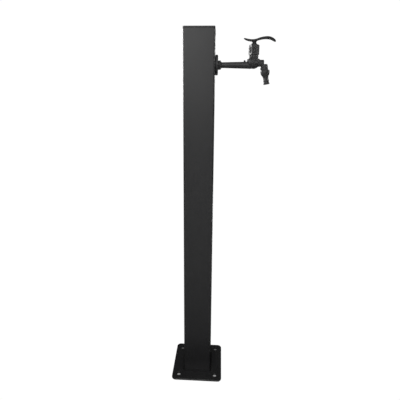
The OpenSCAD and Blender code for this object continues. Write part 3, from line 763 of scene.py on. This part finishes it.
@dataclass
class Tap:
    """Wall rosette, cast body with its leaf relief, and the thread that carries the nozzle."""

    rosette_bore_r: float = 10.53
    rosette_bore_edge_r: float = 0.4
    rosette_edge_r: float = 2.4
    rosette_back_r: float = 0.5
    groove_r: float = 17.5
    groove_w: float = 1.4
    groove_depth: float = 0.6
    groove_lip_r: float = 0.3
    groove_root_r: float = 0.2
    leaf_rings: tuple[LeafRing, ...] = (
        LeafRing(7.5, 16.5, 18, (7.0, 4.2, 1.5)),
        LeafRing(7.5, 16.5, -14, (8.0, 4.6, 1.5)),
        LeafRing(21.0, 11.0, 0, (6.2, 4.4, 1.5)),
    )
    ring_leaves: int = 12
    ring_sink: float = 0.2
    branch_run: float = 16.5
    branch_r: float = 8.5
    branch_rise: float = 5.0
    branch_leaf: Triple = (5.2, 2.8, 1.1)
    branch_leaf_pitch: float = 2.2
    branch_lifts_deg: tuple[float, ...] = (24, -18, 30, -26)
    branch_lean_deg: float = 25
    branch_sink: float = 0.1
    bend_leaf: Triple = (9.0, 11.0, 3.9)
    bend_leaf_r: float = 7.5
    bend_leaf_rise: float = 5.0
    spigot_r: float = 8.33
    spigot_root_r: float = 7.7
    spigot_back: float = 0.5
    spigot_l: float = 9.5
    spigot_pitch: float = 1.9
    thread_sink: float = 0.3
    rim_r: float = 11.0
    rim_lap: float = 0.3
    skin_voxel: float = 0.5
    skin_passes: int = 5

    def rosette(self) -> BMesh:
        """Turns the rosette, with a fine groove round its face.

        Returns:
            The rosette.
        """
        low, high = box_mm("wall_rosette")
        outer_r, thick = (high.z - low.z) / 2, high.x - low.x
        groove_in, groove_out = self.groove_r - self.groove_w / 2, self.groove_r + self.groove_w / 2
        groove_z = thick - self.groove_depth
        bm = turned([
            (self.rosette_bore_r, 0, 0), (outer_r, 0, self.rosette_back_r),
            (outer_r, thick, self.rosette_edge_r), (groove_out, thick, self.groove_lip_r),
            (groove_out, groove_z, self.groove_root_r), (groove_in, groove_z, self.groove_root_r),
            (groove_in, thick, self.groove_lip_r),
            (self.rosette_bore_r, thick, self.rosette_bore_edge_r)], steps=128)
        centre = Matrix.Translation((low.x, 0, (low.z + high.z) / 2))
        bm.transform(centre @ Matrix.Rotation(math.pi / 2, 4, "Y"))
        return bm

    def casting(self) -> BMesh:
        """Dresses a copy of the CAD body with relief and melts it into one cast skin.

        Returns:
            The casting.
        """
        bm = copy_of("tap_body")
        self.spigot_to_root(bm)
        self.rim_into_bonnet(bm)
        self.leaves_in_rings(bm)
        self.leaves_on_branch(bm)
        self.leaf_in_bend(bm)
        return fused(bm, self.skin_voxel, self.skin_passes)

    def spigot_to_root(self, bm: BMesh) -> None:
        """Draws the spigot's wall in to the root of its thread.

        Args:
            bm: The copy of the body.
        """
        to_outlet = joint_axis("nozzle_unscrew").inverted()
        back = to_outlet.inverted()
        for vert in bm.verts:
            local = to_outlet @ vert.co
            radius = math.hypot(local.x, local.y)
            if local.z > -self.spigot_back and abs(radius - self.spigot_r) < NEAR_MM:
                local.x *= self.spigot_root_r / radius
                local.y *= self.spigot_root_r / radius
                vert.co = back @ local

    def rim_into_bonnet(self, bm: BMesh) -> None:
        """Lifts the neck's outer rim a little into the bonnet, so that no slit is left between them.

        Args:
            bm: The copy of the body.
        """
        seat, _ = box_mm("bonnet")
        axis = joint_axis("lever_turn").translation
        top = [v for v in bm.verts if v.co.z > seat.z - NEAR_MM]
        rim = [v for v in top if (v.co - axis).xy.length > self.rim_r - NEAR_MM]
        bmesh.ops.translate(bm, vec=(0, 0, self.rim_lap), verts=rim)

    def leaves_in_rings(self, bm: BMesh) -> None:
        """Lays rings of upright leaves round the valve chamber and its neck, each half a leaf on.

        Args:
            bm: The mesh that takes them.
        """
        axis = joint_axis("lever_turn").translation
        for row, ring in enumerate(self.leaf_rings):
            centre = Matrix.Translation(axis + Vector((0, 0, ring.rise)))
            tilt = Matrix.Rotation(math.radians(90 - ring.tilt_deg), 4, "Y")
            out = Matrix.Translation((0, 0, ring.radius - self.ring_sink))
            stand = out @ Matrix.Rotation(math.pi, 4, "Z")
            for i in range(self.ring_leaves):
                turn = Matrix.Rotation(FULL_TURN * (i + row / 2) / self.ring_leaves, 4, "Z")
                leaf(bm, ring.leaf, centre @ (turn @ tilt) @ stand)

    def leaves_on_branch(self, bm: BMesh) -> None:
        """Lays a spray of leaves along both sides of the outlet branch.

        Args:
            bm: The mesh that takes them.
        """
        axis = joint_axis("lever_turn").translation
        start = axis + Vector((self.branch_run, 0, self.branch_rise))
        out = Matrix.Translation((0, 0, self.branch_r - self.branch_sink))
        for side in (-1, 1):
            for i, lift_deg in enumerate(self.branch_lifts_deg):
                around = Matrix.Rotation(math.radians(side * (90 - lift_deg)), 4, "X")
                spot = Matrix.Translation(start + Vector((self.branch_leaf_pitch * i, 0, 0))) @ around
                lean_deg = -self.branch_lean_deg if i % 2 else self.branch_lean_deg
                lean = Matrix.Rotation(math.radians(lean_deg), 4, "Z")
                leaf(bm, self.branch_leaf, spot @ out @ lean)

    def leaf_in_bend(self, bm: BMesh) -> None:
        """Fills the inner bend of the outlet with one broad leaf, which points at the nozzle.

        Args:
            bm: The mesh that takes it.
        """
        down = Matrix.Translation((self.bend_leaf_r, 0, -self.bend_leaf_rise))
        outwards = Matrix.Rotation(-math.pi / 2, 4, "Y") @ Matrix.Rotation(math.pi, 4, "X")
        leaf(bm, self.bend_leaf, joint_axis("nozzle_unscrew") @ down @ outwards)

    def spigot_thread(self) -> BMesh:
        """Winds the thread that the nozzle screws on to, drawn coarser than life so that it shows.

        Returns:
            The thread.
        """
        root_r = self.spigot_root_r - self.thread_sink
        bm = threaded(root_r, self.spigot_r, self.spigot_pitch, self.spigot_l)
        bm.transform(joint_axis("nozzle_unscrew"))
        return bm

    def build(self) -> None:
        """Places the tap's pieces."""
        place(self.rosette(), "wall_rosette_cover", COAT_ON_CASTING, Body.STAND, "wall_rosette")
        place(self.casting(), "tap_casting", COAT_ON_CASTING, Body.STAND, "tap_body", sharp_deg=180)
        place(self.spigot_thread(), "spigot_thread", TURNED_BRASS, Body.STAND)
        dress(MOULDED_RUBBER, "wall_gasket")


@dataclass
class Valve:
    """Bonnet with its sprigs, and the ceramic cartridge under it."""

    flats: int = 6
    first_flat_deg: float = 30.0
    flat_r: float = 12.0
    wall_r: float = 11.0
    shoulder_lift: float = 1.4
    sprig_lift: float = 11.5
    stem: Triple = (17.0, 1.5, 0.8)
    top_leaf: Triple = (5.0, 3.2, 1.1)
    top_rise: float = 7.0
    side_leaf: Triple = (5.6, 2.6, 1.1)
    side_rows: tuple[float, ...] = (-6.0, -1.6, 2.8)
    side_rise: float = 1.8
    side_out: float = 2.3
    side_lean_deg: float = 38.0
    skin_voxel: float = 0.3
    skin_passes: int = 2
    brass: tuple[str, ...] = ("cartridge_body", "spindle")
    rubber: tuple[str, ...] = ("seat_seal", "cartridge_o_ring", "spindle_o_rings")
    ceramic: tuple[str, ...] = ("fixed_disc", "moving_disc")
    steel: tuple[str, ...] = ("stop_ring", "spindle_circlip")

    def bonnet(self) -> BMesh:
        """Squares up the bonnet and raises a leafy sprig on each of its flats.

        Returns:
            The bonnet.
        """
        low, high = box_mm("bonnet")
        axis = joint_axis("lever_turn").translation
        bm = copy_of("bonnet")
        self.squared(bm, axis, high.y, (low.z + high.z) / 2)
        middle = Matrix.Translation((axis.x, axis.y, low.z + self.sprig_lift))
        out = Matrix.Translation((self.flat_r, 0, 0))
        upright = Matrix(((0, 0, 1, 0), (0, 1, 0, 0), (-1, 0, 0, 0), (0, 0, 0, 1)))
        for i in range(self.flats):
            turn = Matrix.Rotation(math.radians(self.first_flat_deg + 360 / self.flats * i), 4, "Z")
            self.sprig(bm, middle @ turn @ out @ upright @ Matrix.Rotation(math.pi, 4, "Z"))
        return fused(bm, self.skin_voxel, self.skin_passes)

    def squared(self, bm: BMesh, axis: Vector, cad_flat_r: float, middle_z: float) -> None:
        """Fills out the bonnet's hexagon and lifts its shoulder to what the photograph shows.

        Args:
            bm: The copy of the bonnet.
            axis: A point on the bonnet's axis.
            cad_flat_r: Distance from the axis to the flats of the copy.
            middle_z: Height above which the shoulder starts.
        """
        wall = [v for v in bm.verts if (v.co - axis).xy.length > self.wall_r]
        wider = self.flat_r / cad_flat_r
        bmesh.ops.scale(bm, vec=(wider, wider, 1), space=Matrix.Translation(-axis), verts=wall)
        shoulder = [v for v in wall if v.co.z > middle_z]
        bmesh.ops.translate(bm, vec=(0, 0, self.shoulder_lift), verts=shoulder)

    def sprig(self, bm: BMesh, flat: Matrix) -> None:
        """Adds one upright sprig.

        Args:
            bm: The mesh that takes it.
            flat: The middle of the flat, with X up it and Z out of it.
        """
        leaf(bm, self.stem, flat)
        leaf(bm, self.top_leaf, flat @ Matrix.Translation((self.top_rise, 0, 0)))
        for row in self.side_rows:
            for side in (-1, 1):
                lean = Matrix.Rotation(math.radians(side * self.side_lean_deg), 4, "Z")
                spot = Matrix.Translation((row + self.side_rise, side * self.side_out, 0))
                leaf(bm, self.side_leaf, flat @ spot @ lean)

    def build(self) -> None:
        """Places the valve's pieces."""
        place(self.bonnet(), "leafy_bonnet", COAT_ON_CASTING, Body.STAND, "bonnet", sharp_deg=180)
        dress(TURNED_BRASS, *self.brass)
        dress(MOULDED_RUBBER, *self.rubber)
        dress(LAPPED_CERAMIC, *self.ceramic)
        dress(PLATED_STEEL, *self.steel)


@dataclass
class LeverHandle:
    """Wavy lever and the grub screw that fixes it."""

    skin_voxel: float = 0.3
    skin_passes: int = 5
    skin_t: float = 0.5
    bare_hub_h: float = 4.0
    hub_fade_h: float = 4.0
    screw_edge_r: float = 0.25
    screw_rim_angle: float = 1.0
    socket_af: float = 2.0
    socket_depth: float = 1.2

    def blade(self) -> BMesh:
        """Melts the CAD lever's facets into one flowing skin, and fattens it above the hub.

        The photograph shows the lever that much thicker than the solid.

        Returns:
            The lever.
        """
        low, _ = box_mm("lever")
        skin = fused(copy_of("lever"), self.skin_voxel, self.skin_passes)
        skin.normal_update()
        for vert in skin.verts:
            share = (vert.co.z - low.z - self.bare_hub_h) / self.hub_fade_h
            vert.co += vert.normal * self.skin_t * clamped(share)
        return skin

    def grub_screw(self) -> BMesh:
        """Turns the grub screw and broaches its hexagon socket.

        Returns:
            The screw.
        """
        low, high = box_mm("lever_screw")
        radius, length = (high.x - low.x) / 2, high.y - low.y
        bm = bmesh.new()
        bmesh.ops.create_cone(bm, cap_ends=True, segments=48, radius1=radius, radius2=radius, depth=length)
        rims = [e for e in bm.edges if e.calc_face_angle() > self.screw_rim_angle]
        bmesh.ops.bevel(bm, geom=rims, offset=self.screw_edge_r, offset_type="OFFSET", affect="EDGES",
                        segments=2, profile=0.5, material=-1)
        broach = bmesh.new()
        corner_r = self.socket_af / 2 / math.cos(math.pi / 6)
        bmesh.ops.create_cone(broach, cap_ends=True, segments=6, radius1=corner_r, radius2=corner_r,
                              depth=2 * self.socket_depth, matrix=Matrix.Translation((0, 0, length / 2)))
        bm = bored(bm, broach)
        bm.transform(Matrix.Translation((low + high) / 2) @ Matrix.Rotation(-math.pi / 2, 4, "X"))
        return bm

    def build(self) -> None:
        """Places the lever's pieces."""
        place(self.blade(), "wavy_lever", COAT_ON_LEVER, Body.LEVER, "lever", sharp_deg=180)
        place(self.grub_screw(), "grub_screw", PLATED_STEEL, Body.LEVER, "lever_screw")


@dataclass
class HoseNozzle:
    """Screw-on hose nozzle and its washer. Heights run down the outlet from the nut's upper face."""

    nut_r: float = 11.8
    nut_l: float = 7.0
    nut_top_edge_r: float = 0.8
    nut_foot_edge_r: float = 2.0
    waist_r: float = 10.1
    waist_n: float = 11.2
    flare_steps: int = 8
    neck_r: float = 6.9
    neck_n: float = 20.2
    root_edge_r: float = 0.4
    ring_r: float = 7.75
    ring_n: float = 26.6
    ring_w: float = 3.0
    ring_top_edge_r: float = 0.6
    ring_foot_edge_r: float = 0.8
    bead_r: float = 8.0
    bead_l: float = 4.0
    bead_top_edge_r: float = 0.7
    bead_foot_edge_r: float = 1.0
    length: float = 35.4
    bore_r: float = 4.5
    bore_edge_r: float = 0.5
    socket_r: float = 8.38
    socket_l: float = 10.8
    socket_edge_r: float = 0.3
    flutes: int = 14
    flute_depth: float = 0.4
    flute_fade_r: float = 1.2
    flute_fade_n: float = 0.8

    def nozzle(self) -> BMesh:
        """Turns the nozzle and presses flutes into its nut.

        Returns:
            The nozzle.
        """
        step, run = self.waist_r - self.neck_r, self.neck_n - self.waist_n
        flare_r = (run * run + step * step) / (2 * step)
        sweep = math.asin(run / flare_r)
        angles = [sweep * (1 - i / self.flare_steps) for i in range(self.flare_steps + 1)]
        flare = [(self.neck_r + flare_r * (1 - math.cos(angle)), self.neck_n - flare_r * math.sin(angle), 0)
                 for angle in angles]
        ring_top, ring_foot = self.ring_n - self.ring_w / 2, self.ring_n + self.ring_w / 2
        bead_top = self.length - self.bead_l
        bm = turned([
            (self.socket_r, 0, self.socket_edge_r), (self.nut_r, 0, self.nut_top_edge_r),
            (self.nut_r, self.nut_l, self.nut_foot_edge_r), *flare,
            (self.neck_r, ring_top, self.root_edge_r), (self.ring_r, ring_top, self.ring_top_edge_r),
            (self.ring_r, ring_foot, self.ring_foot_edge_r), (self.neck_r, ring_foot, self.root_edge_r),
            (self.neck_r, bead_top, self.root_edge_r), (self.bead_r, bead_top, self.bead_top_edge_r),
            (self.bead_r, self.length, self.bead_foot_edge_r), (self.bore_r, self.length, self.bore_edge_r),
            (self.bore_r, self.socket_l, 0), (self.socket_r, self.socket_l, 0)], steps=168)
        for vert in bm.verts:
            radius = math.hypot(vert.co.x, vert.co.y)
            share = clamped((radius - self.waist_r + self.flute_fade_r / 2) / self.flute_fade_r)
            share *= clamped(vert.co.z / self.flute_fade_n)
            wave = math.cos(self.flutes * math.atan2(vert.co.y, vert.co.x))
            dip = self.flute_depth * share * max(0, wave) ** 2
            vert.co.xy *= 1 - dip / radius
        bm.transform(joint_axis("nozzle_unscrew"))
        return bm

    def build(self) -> None:
        """Places the nozzle's pieces."""
        place(self.nozzle(), "fluted_hose_nozzle", COAT_ON_CASTING, Body.NOZZLE, "hose_nozzle")
        dress(MOULDED_RUBBER, "nozzle_washer")


@dataclass(frozen=True)
class Softbox:
    """A square lamp, in metres and watts."""

    name: str
    at: Triple
    aim: Triple
    size: float
    watts: float
    spread_deg: float = 180.0

    def hang(self) -> None:
        """Hangs the lamp and turns it to what it faces."""
        light = bpy.data.lights.new(self.name, "AREA")
        light.shape = "SQUARE"
        light.size = self.size
        light.energy = self.watts
        light.spread = math.radians(self.spread_deg)
        lamp = in_scene(self.name, light)
        lamp.location = self.at
        lamp.visible_camera = False
        lamp.rotation_euler = (Vector(self.aim) - Vector(self.at)).to_track_quat("-Z", "Y").to_euler()


@dataclass
class Studio:
    """White paper, soft light and the camera."""

    camera_mm: Triple = (58.44, -886.75, 800.89)
    yaw_deg: float = -2.8613
    pitch_deg: float = 12.4956
    roll_deg: float = 0.5491
    image_px: float = 400.0
    focal_px: float = 320.99
    centre_px: tuple[float, float] = (204.0, 180.0)
    sensor_mm: float = 36.0
    paper_white: float = 1.02
    paper_roughness: float = 0.9
    fill: float = 0.07
    floor_m: float = 60.0
    floor_grey: str = "#a4a4a4"
    # Two sheets under the plate, which the camera sees only through its anchor holes, are painted shadow: a
    # dim glow for the shade of the plate at the front and a dimmer one for the shade of the post at the
    # back.
    shade_m: float = 0.13
    shade_lift_m: float = 0.0002
    painted_shadow_grey: str = "#404040"
    plate_painted_shadow: float = 0.26
    post_painted_shadow: float = 0.085
    flag_m: float = 0.32
    flag_black: str = "#050505"
    lamps: tuple[Softbox, ...] = (
        Softbox("key_softbox", (-0.35, -1.9, 1.75), (0.05, 0.0, 0.95), 1.1, 17.0),
        Softbox("front_card", (0.0, -3.0, 0.6), (0.0, 0.0, 0.5), 1.8, 4.2),
        Softbox("floor_softbox", (0.0, -1.9, 1.5), (0.0, -1.9, 0.0), 1.2, 35.0, 150.0),
        Softbox("overhead_softbox", (0.2, -0.3, 2.2), (0.16, 0.0, 0.95), 0.6, 0.2, 40.0),
        Softbox("left_back_softbox", (-1.06, 0.95, 1.2), (0.14, 0.0, 0.95), 0.5, 1.8, 40.0),
        Softbox("side_softbox", (-1.15, -0.62, 1.15), (0.14, 0.0, 0.95), 0.4, 0.35, 40.0),
        Softbox("right_back_softbox", (1.77, 1.11, 1.27), (0.14, 0.0, 0.95), 0.8, 0.1, 25.0),
        Softbox("back_card", (0.4, 3.0, 1.45), (0.04, 0.0, 0.95), 1.0, 0.3, 25.0),
        Softbox("right_window", (1.9, 0.0, 1.5), (0.04, 0.0, 0.95), 0.6, 0.3, 20.0),
        Softbox("rear_window", (-0.2, 1.9, 1.5), (0.0, 0.04, 0.95), 0.6, 0.15, 20.0),
        Softbox("right_floor_softbox", (1.6, 0.0, 1.5), (1.6, 0.0, 0.0), 1.2, 20.0, 70.0),
        Softbox("rear_floor_softbox", (0.0, 1.6, 1.5), (0.0, 1.6, 0.0), 1.2, 20.0, 70.0),
        Softbox("left_floor_softbox", (-1.6, 0.0, 1.5), (-1.6, 0.0, 0.0), 1.2, 20.0, 70.0),
    )

    @staticmethod
    def two_levels(tree: bpy.types.NodeTree, as_light: float, to_eye: float) -> bpy.types.NodeSocket:
        """Makes a value that is one thing to the camera and another to the light that falls on the part.

        Args:
            tree: The node tree that takes it.
            as_light: The value for all rays but the camera's.
            to_eye: The value for the camera's rays.

        Returns:
            The value.
        """
        sight = add_node(tree, "ShaderNodeLightPath").outputs["Is Camera Ray"]
        ends = {"To Min": as_light, "To Max": to_eye}
        return add_node(tree, "ShaderNodeMapRange", ends, {"Value": sight}).outputs["Result"]

    def backdrop(self) -> None:
        """Fills the air with dim light, which the camera sees as white."""
        world = bpy.data.worlds.new("studio_air")
        world.use_nodes = True
        tree = world.node_tree
        ground = tree.nodes["Background"]
        ground.inputs["Color"].default_value = linear(WHITE)
        tree.links.new(self.two_levels(tree, self.fill, self.paper_white), ground.inputs["Strength"])
        bpy.context.scene.world = world

    def sheet(self, name: str, size_m: tuple[float, float], at_m: tuple[float, float], grey: str,
              seen: float) -> bpy.types.Object:
        """Lays a sheet of paper, which belongs to the stage.

        The part is lit by what the sheet's grey throws back, and the camera sees its own even glow.

        Args:
            name: The sheet's name.
            size_m: Its width and its depth from front to back.
            at_m: How far back its middle lies, and how high.
            grey: The grey that throws light back.
            seen: How bright it is to the camera.

        Returns:
            The sheet.
        """
        bm = bmesh.new()
        spread = Matrix.Diagonal((*size_m, 1.0, 1.0))
        bmesh.ops.create_grid(bm, x_segments=1, y_segments=1, size=0.5,
                              matrix=Matrix.Translation((0, *at_m)) @ spread)
        sheet = meshed(bm, name)
        material = bpy.data.materials.new(name)
        material.use_nodes = True
        tree = material.node_tree
        shader = tree.nodes["Principled BSDF"]
        tree.links.new(self.two_levels(tree, linear(grey)[0], 0.0), shader.inputs["Base Color"])
        shader.inputs["Roughness"].default_value = self.paper_roughness
        shader.inputs["Specular IOR Level"].default_value = 0.0
        shader.inputs["Emission Color"].default_value = linear(WHITE)
        tree.links.new(self.two_levels(tree, 0.0, seen), shader.inputs["Emission Strength"])
        sheet.data.materials.append(material)
        return sheet

    def camera(self) -> None:
        """Sets the camera at the photograph's place, turn and field of view."""
        yaw, pitch, roll = (math.radians(a) for a in (self.yaw_deg, self.pitch_deg, self.roll_deg))
        ahead = Vector((math.sin(yaw) * math.cos(pitch), math.cos(yaw) * math.cos(pitch), -math.sin(pitch)))
        right = Vector((math.cos(yaw), -math.sin(yaw), 0))
        up = right.cross(ahead)
        across = right * math.cos(roll) + up * math.sin(roll)
        upright = up * math.cos(roll) - right * math.sin(roll)
        lens = bpy.data.cameras.new("camera")
        lens.sensor_fit = "HORIZONTAL"
        lens.sensor_width = self.sensor_mm
        lens.lens = self.focal_px / self.image_px * self.sensor_mm
        lens.shift_x = (self.image_px / 2 - self.centre_px[0]) / self.image_px
        lens.shift_y = (self.centre_px[1] - self.image_px / 2) / self.image_px
        lens.clip_end = 2 * self.floor_m
        camera = in_scene("camera", lens)
        turn = Matrix((across, upright, -ahead)).transposed().to_4x4()
        camera.matrix_world = Matrix.Translation(Vector(self.camera_mm) * MM) @ turn
        bpy.context.scene.camera = camera

    def build(self) -> None:
        """Sets the whole stage."""
        bpy.context.scene.view_settings.view_transform = "Standard"
        self.backdrop()
        whole, half, flag = (self.floor_m,) * 2, (self.shade_m, self.shade_m / 2), (self.flag_m,) * 2
        front, back = ((side * self.shade_m / 4, self.shade_lift_m) for side in (-1, 1))
        self.sheet("floor_paper", whole, (0.0, 0.0), self.floor_grey, self.paper_white)
        # Painted shadow under the plate, seen through its anchor holes.
        self.sheet("painted_shadow_under_the_plate", half, front, self.painted_shadow_grey, self.plate_painted_shadow)
        self.sheet("painted_shadow_of_the_post", half, back, self.painted_shadow_grey, self.post_painted_shadow)
        dark = self.sheet("black_flag", flag, (0.0, self.shade_lift_m / 2), self.flag_black, 0.0)
        dark.visible_camera = False
        for lamp in self.lamps:
            lamp.hang()
        self.camera()


def main() -> None:
    """Builds the standpipe and its stage."""
    logging.basicConfig(level=logging.INFO, format="%(name)s: %(message)s")
    Studio().build()
    for assembly in (Foot(), Post(), Riser(), Tap(), Valve(), LeverHandle(), HoseNozzle()):
        assembly.build()


if __name__ == "__main__":
    main()
